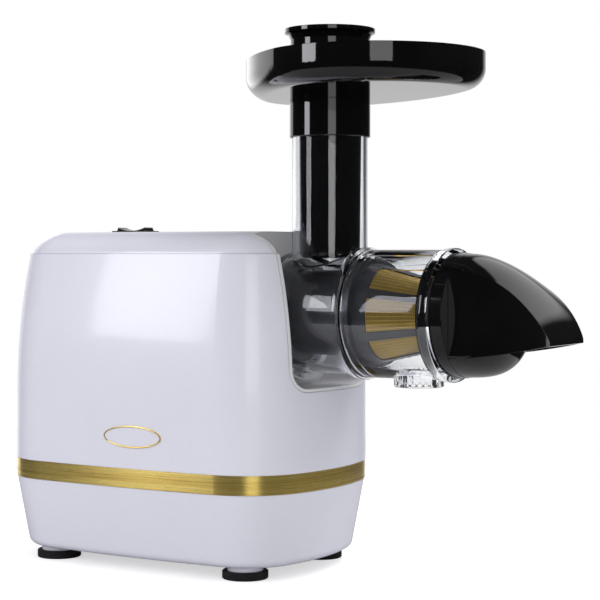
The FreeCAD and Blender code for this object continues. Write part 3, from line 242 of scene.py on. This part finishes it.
def goldMesh():
    # fine slots across the strainer, with narrow ribs that cross them
    slotPitch, ribCount = 0.0011, 70
    finish = Finish("slottedGoldMesh", {"Metallic": 0.75, "Specular IOR Level": 0.5})
    slots = finish.place.axis("X").wave(slotPitch).between(-0.2, 0.5)
    height = finish.place.axis("Z") - driveHeight / 1000
    turn = finish.place.sum("ARCTAN2", finish.place.axis("Y"), height)
    ribs = turn.wave(2 * math.pi / ribCount).between(0.55, 0.95)
    metal = finish.place.grain(60, 2).tints(onScreen(184, 152, 74), onScreen(214, 184, 100))
    solid = finish.place.sum("MAXIMUM", slots, ribs)
    finish.varies("Base Color", solid.tints(onScreen(112, 84, 36), metal))
    finish.varies("Roughness", 0.55 - solid * 0.2)
    finish.relief(solid, 0.0003, 0.7)
    return finish.material


def turnedSteel():
    finish = Finish("turnedSteel", {"Metallic": 1.0, "Anisotropic": 0.3})
    rings = finish.place.stretched(4200, 60, 60).grain(1.0, 2)
    stain = finish.place.grain(70, 3).between(0.4, 0.8)
    finish.varies("Base Color", stain.tints(onScreen(206, 207, 209), onScreen(176, 177, 180)))
    finish.varies("Roughness", 0.2 + rings * 0.2)
    finish.relief(rings, 0.00005, 0.5, edge=0.0003)
    return finish.material


def stackedSteel():
    sheetPitch = 0.0007
    finish = Finish("stackedSteelSheets", {"Metallic": 0.9})
    sheets = finish.place.axis("X").wave(sheetPitch).between(-0.8, 0.1)
    blue = finish.place.grain(50, 3).between(0.35, 0.7)
    face = blue.tints(onScreen(150, 152, 158), onScreen(124, 128, 138))
    finish.varies("Base Color", sheets.tints(onScreen(62, 62, 66), face))
    finish.varies("Roughness", 0.6 - sheets * 0.2)
    finish.relief(sheets, 0.0001, 0.7)
    return finish.material


def copperWire():
    # wires that run round the motor's axis, side by side
    wirePitch = 0.0009
    finish = Finish("enamelledCopper", {"Metallic": 0.85, "Coat Weight": 0.6, "Coat Roughness": 0.1})
    height = finish.place.axis("Z") - motorHeight / 1000
    side = finish.place.axis("Y")
    radius = (height * height + side * side) ** 0.5
    wires = (radius.wave(wirePitch) * finish.place.axis("X").wave(wirePitch)).between(-0.6, 0.5)
    lacquer = finish.place.grain(90, 2).tints(onScreen(196, 112, 56), onScreen(216, 134, 74))
    finish.varies("Base Color", wires.tints(onScreen(92, 44, 22), lacquer))
    finish.varies("Roughness", 0.45 - wires * 0.2)
    finish.relief(wires, 0.0003, 0.8)
    return finish.material


def castAluminium():
    finish = Finish("castAluminium", {"Metallic": 0.95})
    skin = finish.place.grain(420, 4, 0.65)
    flow = finish.place.grain(25, 3).between(0.35, 0.7)
    finish.varies("Base Color", flow.tints(onScreen(184, 186, 188), onScreen(206, 207, 208)))
    finish.varies("Roughness", 0.42 + skin * 0.2)
    finish.relief(skin, 0.0002, 0.6, edge=0.0005)
    return finish.material


def brassPin():
    finish = Finish("platedBrass", {"Metallic": 1.0})
    draw = finish.place.stretched(90, 3600, 3600).grain(1.0, 2)
    tarnish = finish.place.grain(240, 3).between(0.45, 0.8)
    finish.varies("Base Color", tarnish.tints(onScreen(222, 190, 118), onScreen(190, 152, 84)))
    finish.varies("Roughness", 0.2 + draw * 0.2)
    finish.relief(draw, 0.00004, 0.5, edge=0.0003)
    return finish.material


def naturalNylon():
    finish = Finish("naturalNylon", {"Specular IOR Level": 0.45, "Subsurface Weight": 0.1})
    cloud = finish.place.grain(60, 3).between(0.3, 0.75)
    grease = finish.place.grain(140, 2).between(0.62, 0.7)
    base = cloud.tints(onScreen(228, 224, 208), onScreen(240, 237, 224))
    finish.varies("Base Color", (grease * 0.4).tints(base, onScreen(206, 190, 150)))
    finish.varies("Roughness", 0.45 - grease * 0.2 + cloud * 0.08)
    finish.relief(cloud, 0.00008, 0.4, edge=0.0003)
    return finish.material


def circuitGreen():
    # solder mask over rows of tracks, with tinned pads
    finish = Finish("circuitBoard", {"Specular IOR Level": 0.5, "Coat Weight": 0.4, "Coat Roughness": 0.15})
    layout = {"Vector": finish.place, "Scale": 210.0, "Mortar Size": 0.03, "Mortar Smooth": 0.2, "Brick Width": 0.9,
              "Row Height": 0.35}
    tracks = finish.place.add("ShaderNodeTexBrick", {"offset": 0.5}, layout, 1)
    pads = 1 - finish.place.cells(260).between(0.16, 0.2)
    board = tracks.tints(onScreen(18, 92, 52), onScreen(44, 128, 78))
    finish.varies("Base Color", pads.tints(board, onScreen(190, 192, 188)))
    finish.varies("Metallic", pads * 0.8)
    finish.varies("Roughness", 0.35 - pads * 0.1)
    finish.relief(tracks + pads, 0.00008, 0.6)
    return finish.material


def capacitorWhite():
    finish = Finish("capacitorCan", {"Specular IOR Level": 0.5})
    cloud = finish.place.grain(80, 3).between(0.3, 0.7)
    finish.varies("Base Color", cloud.tints(onScreen(226, 226, 220), onScreen(238, 238, 234)))
    finish.varies("Roughness", 0.38 + finish.place.grain(700, 2) * 0.14)
    finish.relief(finish.place.grain(1100, 2), 0.00005, 0.5, edge=0.0005)
    return finish.material


finishes = {
    "white_shell": pearlWhite(), "grey_dock": satinGrey(), "gold_trim": brushedGold(), "black_rubber": blackRubber(),
    "black_gloss": glossBlack(), "black_matte": mattBlack(), "clear_plastic": clearPlastic(),
    "dark_plastic": darkPlastic(), "gold_mesh": goldMesh(), "steel": turnedSteel(), "laminated_steel": stackedSteel(),
    "copper_winding": copperWire(), "cast_aluminium": castAluminium(), "brass_contact": brassPin(),
    "grey_nylon": naturalNylon(), "circuit_green": circuitGreen(), "capacitor_white": capacitorWhite(),
}
slotOf = {entry["node"]: entry["material_slot"] for entry in frame["record"]["subparts"]}
for name, node in nodes.items():
    for place in node.material_slots:
        place.material = finishes[slotOf[name]]
print("finishes on", len(nodes), "nodes")


# Tools of the bench; sizes in millimetres, made metres as a piece is finished

driveAxis = (0, 0, driveHeight)


def across(x, r):  # a point of an outline that is turned about the drive axis
    return Vector((x, 0, driveHeight + r))


def upright(axisX):  # the same for one turned about a vertical axis
    return lambda r, z: Vector((axisX + r, 0, z))


def outlined(points, place):
    # an open outline of (a, b, corner radius) points, its corners rounded in three steps
    shape = bmesh.new()
    verts = [shape.verts.new(place(a, b)) for a, b, _ in points]
    for first, second in zip(verts, verts[1:]):
        shape.edges.new((first, second))
    for radius in sorted({r for _, _, r in points if r}):
        corners = [v for v, point in zip(verts, points) if point[2] == radius]
        bmesh.ops.bevel(shape, geom=corners, offset=radius, offset_type="OFFSET", affect="VERTICES",
                        segments=3, profile=0.5, material=-1)
    return shape


def spun(shape, centre, axis, steps, degrees=360):
    bmesh.ops.spin(shape, geom=shape.verts[:] + shape.edges[:] + shape.faces[:], cent=centre, axis=axis,
                   angle=math.radians(degrees), steps=steps, use_merge=degrees == 360)
    bmesh.ops.remove_doubles(shape, verts=shape.verts[:], dist=0.001)
    bmesh.ops.recalc_face_normals(shape, faces=shape.faces[:])
    return shape


def turnedAcross(points, steps):  # the outline starts and ends on the axis, so the form is closed
    return spun(outlined(points, across), driveAxis, (1, 0, 0), steps)


def turnedUpright(points, axisX, steps):
    return spun(outlined(points, upright(axisX)), (axisX, 0, 0), (0, 0, 1), steps)


def plugUpright(radius, low, high, axisX, steps, edge=0):  # edge is the top corner's radius
    points = [(0, low, 0), (radius, low, 0), (radius, high, edge), (0, high, 0)]
    return turnedUpright(points, axisX, steps)


def helperOf(shape):
    mesh = bpy.data.meshes.new("helper")
    shape.to_mesh(mesh)
    shape.free()
    helper = bpy.data.objects.new("helper", mesh)
    scene.collection.objects.link(helper)
    return helper


def carved(shape, changes):
    # joins or cuts other shapes, one after the other
    main = helperOf(shape)
    others = []
    for operation, other in changes:
        others.append(helperOf(other))
        modifier = main.modifiers.new("step", "BOOLEAN")
        modifier.operation = operation
        modifier.solver = "EXACT"
        modifier.object = others[-1]
    result = bpy.data.meshes.new_from_object(main.evaluated_get(bpy.context.evaluated_depsgraph_get()))
    for helper in [main] + others:
        old = helper.data
        bpy.data.objects.remove(helper)
        bpy.data.meshes.remove(old)
    final = bmesh.new()
    final.from_mesh(result)
    bpy.data.meshes.remove(result)
    return final


def finishPiece(name, shape, slot, body, *replaced, sharp=32):
    bmesh.ops.scale(shape, verts=shape.verts[:], vec=(0.001, 0.001, 0.001))
    mesh = bpy.data.meshes.new(name)
    shape.to_mesh(mesh)
    shape.free()
    mesh.shade_smooth()
    mesh.set_sharp_from_angle(angle=math.radians(sharp))
    piece = bpy.data.objects.new(name, mesh)
    scene.collection.objects.link(piece)
    mesh.materials.append(finishes[slot])
    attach(piece, body)
    if replaced:
        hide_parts(*replaced)
    print("made", name, len(mesh.polygons), "faces")


# Clear drum, in one moulding with its chute and its juice spout

clearDrum = {
    "back": 81.2, "backWall": 3.0, "hole": 12.0, "neck": 38.0, "neckBore": 34.5, "flangeX": 133.0, "flange": 41.0,
    "flangeEnd": 137.0, "drum": 39.5, "bore": 36.5, "collarX": 190.0, "collarStart": 38.9, "collarSlope": 2.3,
    "collar": 40.6, "front": 197.3, "chuteX": 108.2, "chute": 23.75, "chuteBore": 21.6, "chuteTop": 291.0,
    "spoutX": 171.6, "spout": 15.3, "spoutBore": 9.0, "spoutBottom": 119.0, "spoutTop": 129.0, "flutes": 24,
    "fluteDepth": 0.4, "fluteSteps": 8, "lip": 1.7, "fluteStart": 2.1,
    "lugX": (84.1, 88.6), "lug": 41.2, "lugCentres": (75, 145, 215, 285), "lugAngle": 18, "lugSunk": 1.5,
    "fineEdge": 0.6, "flangeEdge": 0.7, "softEdge": 0.8, "root": 1.2, "innerEdge": 1.5,
    "neckBoreEnd": 134.5, "boreStart": 138.0, "over": 1, "chuteFoot": 172, "chuteCut": (165, 295),
    "spoutCut": (116, 131), "backCut": (-2, 6),
    "drumSteps": 160, "chuteSteps": 112, "holeSteps": 64, "lugSteps": 6,
}


def makeSpout(d):
    # a fluted collar over a plain lip, with a rounded lower edge
    side, low, top = d["spout"], d["spoutBottom"], d["spoutTop"]
    points = [(0, low, 0), (side, low, d["softEdge"]), (side, low + d["lip"], 0), (side, low + d["fluteStart"], 0),
              (side, top, 0), (0, top, 0)]
    shape = turnedUpright(points, d["spoutX"], d["flutes"] * d["fluteSteps"])
    plain = low + (d["lip"] + d["fluteStart"]) / 2
    for vert in shape.verts:
        if vert.co.z > plain:
            out = Vector((vert.co.x - d["spoutX"], vert.co.y))
            turn = math.atan2(out.y, out.x) * d["flutes"]
            if out.length > 1:  # the centre's own point stays
                out *= 1 - d["fluteDepth"] * max(0, math.cos(turn)) ** 2 / side
            vert.co.x, vert.co.y = d["spoutX"] + out.x, out.y
    return shape


def makeLug(d, centre):
    shape = bmesh.new()
    x0, x1 = d["lugX"]
    low, high = d["neck"] - d["lugSunk"], d["lug"]
    shape.faces.new([shape.verts.new(across(x, r)) for x, r in ((x0, low), (x1, low), (x1, high), (x0, high))])
    bmesh.ops.rotate(shape, verts=shape.verts[:], cent=driveAxis,
                     matrix=Matrix.Rotation(math.radians(-(centre - d["lugAngle"] / 2)), 3, "X"))
    return spun(shape, driveAxis, (-1, 0, 0), d["lugSteps"], d["lugAngle"])


def makeClearDrum(d):
    back, end, root, front = d["back"], d["flangeEnd"], d["flangeX"], d["front"]
    collar, inner = d["collarX"], back + d["backWall"]
    fine, soft, inward = d["fineEdge"], d["softEdge"], d["innerEdge"]
    outer = turnedAcross([(back, 0, 0), (back, d["neck"], soft), (root, d["neck"], d["root"]),
                          (root, d["flange"], d["flangeEdge"]), (end, d["flange"], d["flangeEdge"]),
                          (end, d["drum"], fine), (collar, d["drum"], 0), (collar, d["collarStart"], 0),
                          (collar + d["collarSlope"], d["collar"], soft), (front, d["collar"], fine),
                          (front, 0, 0)], d["drumSteps"])
    chute = plugUpright(d["chute"], d["chuteFoot"], d["chuteTop"], d["chuteX"], d["chuteSteps"], fine)
    inside = turnedAcross([(inner, 0, 0), (inner, d["neckBore"], inward), (d["neckBoreEnd"], d["neckBore"], inward),
                           (d["boreStart"], d["bore"], inward), (front + d["over"], d["bore"], 0),
                           (front + d["over"], 0, 0)], d["drumSteps"])
    chuteHole = plugUpright(d["chuteBore"], *d["chuteCut"], d["chuteX"], d["chuteSteps"])
    spoutHole = plugUpright(d["spoutBore"], *d["spoutCut"], d["spoutX"], d["holeSteps"])
    start, stop = [back + x for x in d["backCut"]]
    backHole = turnedAcross([(start, 0, 0), (start, d["hole"], 0), (stop, d["hole"], 0), (stop, 0, 0)], d["holeSteps"])
    added = [chute, makeSpout(d)] + [makeLug(d, centre) for centre in d["lugCentres"]]
    cuts = [inside, chuteHole, spoutHole, backHole]
    return carved(outer, [("UNION", part) for part in added] + [("DIFFERENCE", cut) for cut in cuts])


finishPiece("clearDrum", makeClearDrum(clearDrum), "clear_plastic", "drum",
            "drum_rear", "drum_neck", "drum_housing", "feed_chute")


# Bare oval plate low on the near side, in a thin gold rim

ovalPlate = {
    "x": 10.0, "z": 86.0, "halfLength": 22.0, "halfHeight": 6.85, "rim": 0.9, "rimProud": 0.75, "plateProud": 0.4,
    "sunk": 0.3, "lap": 0.1, "rimEdge": 0.25, "over": 1, "around": 112, "strips": 22, "sideY": -75.5, "sideArc": 917.0,
}


def ovalDisc(d, inset, back, front):
    # an upright oval plug, from back to front as heights over the side
    shape = bmesh.new()
    bmesh.ops.create_circle(shape, cap_ends=True, radius=1, segments=d["around"])
    bmesh.ops.scale(shape, verts=shape.verts[:], vec=(d["halfLength"] - inset, d["halfHeight"] - inset, 1))
    bmesh.ops.rotate(shape, verts=shape.verts[:], cent=(0, 0, 0), matrix=Matrix.Rotation(math.radians(90), 3, "X"))
    bmesh.ops.translate(shape, verts=shape.verts[:], vec=(d["x"], -back, d["z"]))
    grown = bmesh.ops.extrude_face_region(shape, geom=shape.faces[:])["geom"]
    bmesh.ops.translate(shape, verts=[part for part in grown if isinstance(part, bmesh.types.BMVert)],
                        vec=(0, back - front, 0))
    bmesh.ops.recalc_face_normals(shape, faces=shape.faces[:])
    return shape


def bentToSide(d, shape):
    # cut across in strips, then set back to the slow curve of the body's side
    for k in range(1, d["strips"]):
        place = d["x"] - d["halfLength"] + 2 * d["halfLength"] * k / d["strips"]
        bmesh.ops.bisect_plane(shape, geom=shape.verts[:] + shape.edges[:] + shape.faces[:],
                               plane_co=(place, 0, 0), plane_no=(1, 0, 0))
    for vert in shape.verts:
        vert.co.y += d["sideY"] + vert.co.x ** 2 / (2 * d["sideArc"])
    return shape


def makeOvalRim(d):
    hole = ovalDisc(d, d["rim"], -d["over"], d["rimProud"] + d["over"])
    ring = carved(ovalDisc(d, 0, -d["sunk"], d["rimProud"]), [("DIFFERENCE", hole)])
    tops = [edge for edge in ring.edges if all(vert.co.y < 0.01 - d["rimProud"] for vert in edge.verts)]
    bmesh.ops.bevel(ring, geom=[edge for edge in tops if edge.calc_face_angle(0) > 0.5], offset=d["rimEdge"],
                    affect="EDGES", segments=2, profile=0.5, material=-1)
    return bentToSide(d, ring)


def makeOvalPlate(d):
    return bentToSide(d, ovalDisc(d, d["rim"] - d["lap"], -d["sunk"], d["plateProud"]))


finishPiece("ovalRim", makeOvalRim(ovalPlate), "gold_trim", "base")
finishPiece("ovalPlate", makeOvalPlate(ovalPlate), "white_shell", "base")


# Studio

studio = {
    "softboxes": {  # place, target, width, height, watts, colour, and whether glossy faces show it
        "keySoftbox": ((-0.66, -1.05, 0.55), (0.03, -0.03, 0.22), 0.38, 0.62, 4.7, (0.94, 0.94, 1.0), True),
        "frontStrip": ((1.16, -1.40, 0.42), (0.10, 0.0, 0.20), 0.66, 0.85, 3.7, (1.0, 1.0, 0.99), True),
        "topSoftbox": ((0.42, 0.50, 1.16), (0.18, 0.0, 0.20), 1.3, 0.55, 11.0, (1.0, 1.0, 1.0), False),
    },
    "fill": 0.39, "above": 0.34, "side": 0.17, "sideWay": (0.92, -0.39, 0),
    "mirrored": {  # way, where it starts, where it is full, and its strength outside and inside
        "sweepBehind": ((-0.53, 0.848, 0.0), 0.8, 0.97, 0.02, 0.72),
        "cardBeside": ((-0.87, 0.47, 0.12), 0.92, 0.955, 0.0, 1.0),
        "roofAbove": ((0.02, 0.79, 0.61), 0.925, 0.95, 0.0, 0.85),
    },
    "table": 0.5, "paper": (0.74, 0.74, 0.75, 1), "paperMirrored": (0.4, 0.4, 0.41, 1),
    "glow": (0.25, 0.45, 0.56, 0.8),  # starts, ends, near, far
}
photoView = {"lens": 105.01, "shift": -0.08, "place": (0.6755, -0.9433, 0.2011), "turn": 32}


def addSoftbox(name, place, target, width, height, watts, colour, shown):
    lamp = bpy.data.lights.new(name, "AREA")
    lamp.shape = "RECTANGLE"
    lamp.size = width
    lamp.size_y = height
    lamp.energy = watts
    lamp.color = colour
    holder = bpy.data.objects.new(name, lamp)
    scene.collection.objects.link(holder)
    holder.location = place
    holder.rotation_euler = (Vector(target) - Vector(place)).to_track_quat("-Z", "Y").to_euler()
    holder.visible_camera = False
    holder.visible_glossy = shown


def addWorld(s):
    # white to the eye, an even fill for rough faces, and a darker room for glossy ones
    world = bpy.data.worlds.new("whiteStudio")
    scene.world = world
    world.use_nodes = True
    tree = world.node_tree
    heading = Wire(tree, tree.nodes.new("ShaderNodeTexCoord").outputs["Generated"])
    light = tree.nodes.new("ShaderNodeLightPath")

    def rayKind(name):
        return Wire(tree, light.outputs[name])

    def bounced(name):  # 0 before the first such bounce and 1 after it
        return rayKind(name).between(0.4, 0.6)

    def facing(way):
        return heading.add("ShaderNodeVectorMath", {"operation": "DOT_PRODUCT"}, {0: heading, 1: way}, 1)

    scattered = bounced("Diffuse Depth")
    mirrored = bounced("Glossy Depth")
    lobes = [facing(way).between(*levels) for way, *levels in s["mirrored"].values()]
    shine = heading.sum("MAXIMUM", rayKind("Is Glossy Ray"), mirrored) * (1 - scattered)
    through = rayKind("Is Transmission Ray") * (1 - scattered) * (1 - mirrored)
    seen = heading.sum("MAXIMUM", rayKind("Is Camera Ray"), through)
    fill = s["fill"] + facing((0, 0, 1)) * s["above"] + facing(s["sideWay"]) * s["side"]
    plain = fill * (1 - shine) + (lobes[0] + lobes[1] + lobes[2]) * shine
    heading.give(tree.nodes["Background"].inputs["Strength"], plain * (1 - seen) + seen)
    tree.nodes["Background"].inputs["Color"].default_value = (1, 1, 1, 1)


def whitePaper(s):
    # lit as paper, with a glow that only the camera sees, so that it melts into the background
    paper = bpy.data.materials.new("whitePaper")
    paper.use_nodes = True
    tree = paper.node_tree
    tree.nodes.remove(tree.nodes["Principled BSDF"])
    light = tree.nodes.new("ShaderNodeLightPath")
    seen, shiny, through = [Wire(tree, light.outputs["Is " + kind + " Ray"])
                            for kind in ("Camera", "Glossy", "Transmission")]
    spot = Wire(tree, tree.nodes.new("ShaderNodeTexCoord").outputs["Object"])
    distance = spot.add("ShaderNodeVectorMath", {"operation": "LENGTH"}, {0: spot}, 1)
    tint = shiny.tints(s["paper"], s["paperMirrored"])
    lit = seen.add("ShaderNodeBsdfDiffuse", {}, {"Color": tint})
    shown = seen.sum("MAXIMUM", seen, through) * distance.between(*s["glow"])
    glow = seen.add("ShaderNodeEmission", {}, {"Color": (1, 1, 1, 1), "Strength": shown})
    both = seen.add("ShaderNodeAddShader", {}, {0: lit, 1: glow})
    tree.links.new(both.socket, tree.nodes["Material Output"].inputs["Surface"])
    return paper


def addFloor(s):
    mesh = bpy.data.meshes.new("studioFloor")
    ground = bmesh.new()
    bmesh.ops.create_circle(ground, cap_ends=True, radius=s["table"], segments=96)
    ground.to_mesh(mesh)
    ground.free()
    mesh.materials.append(whitePaper(s))
    floor = bpy.data.objects.new("studioFloor", mesh)
    scene.collection.objects.link(floor)


def addCamera(v):
    camera = bpy.data.cameras.new("photoCamera")
    camera.lens = v["lens"]
    camera.sensor_width = 36
    camera.shift_y = v["shift"]
    stand = bpy.data.objects.new("photoCamera", camera)
    scene.collection.objects.link(stand)
    stand.location = v["place"]
    stand.rotation_euler = (math.radians(90), 0, math.radians(v["turn"]))
    scene.camera = stand


for name, values in studio["softboxes"].items():
    addSoftbox(name, *values)
addWorld(studio)
addFloor(studio)
addCamera(photoView)
print("studio ready")
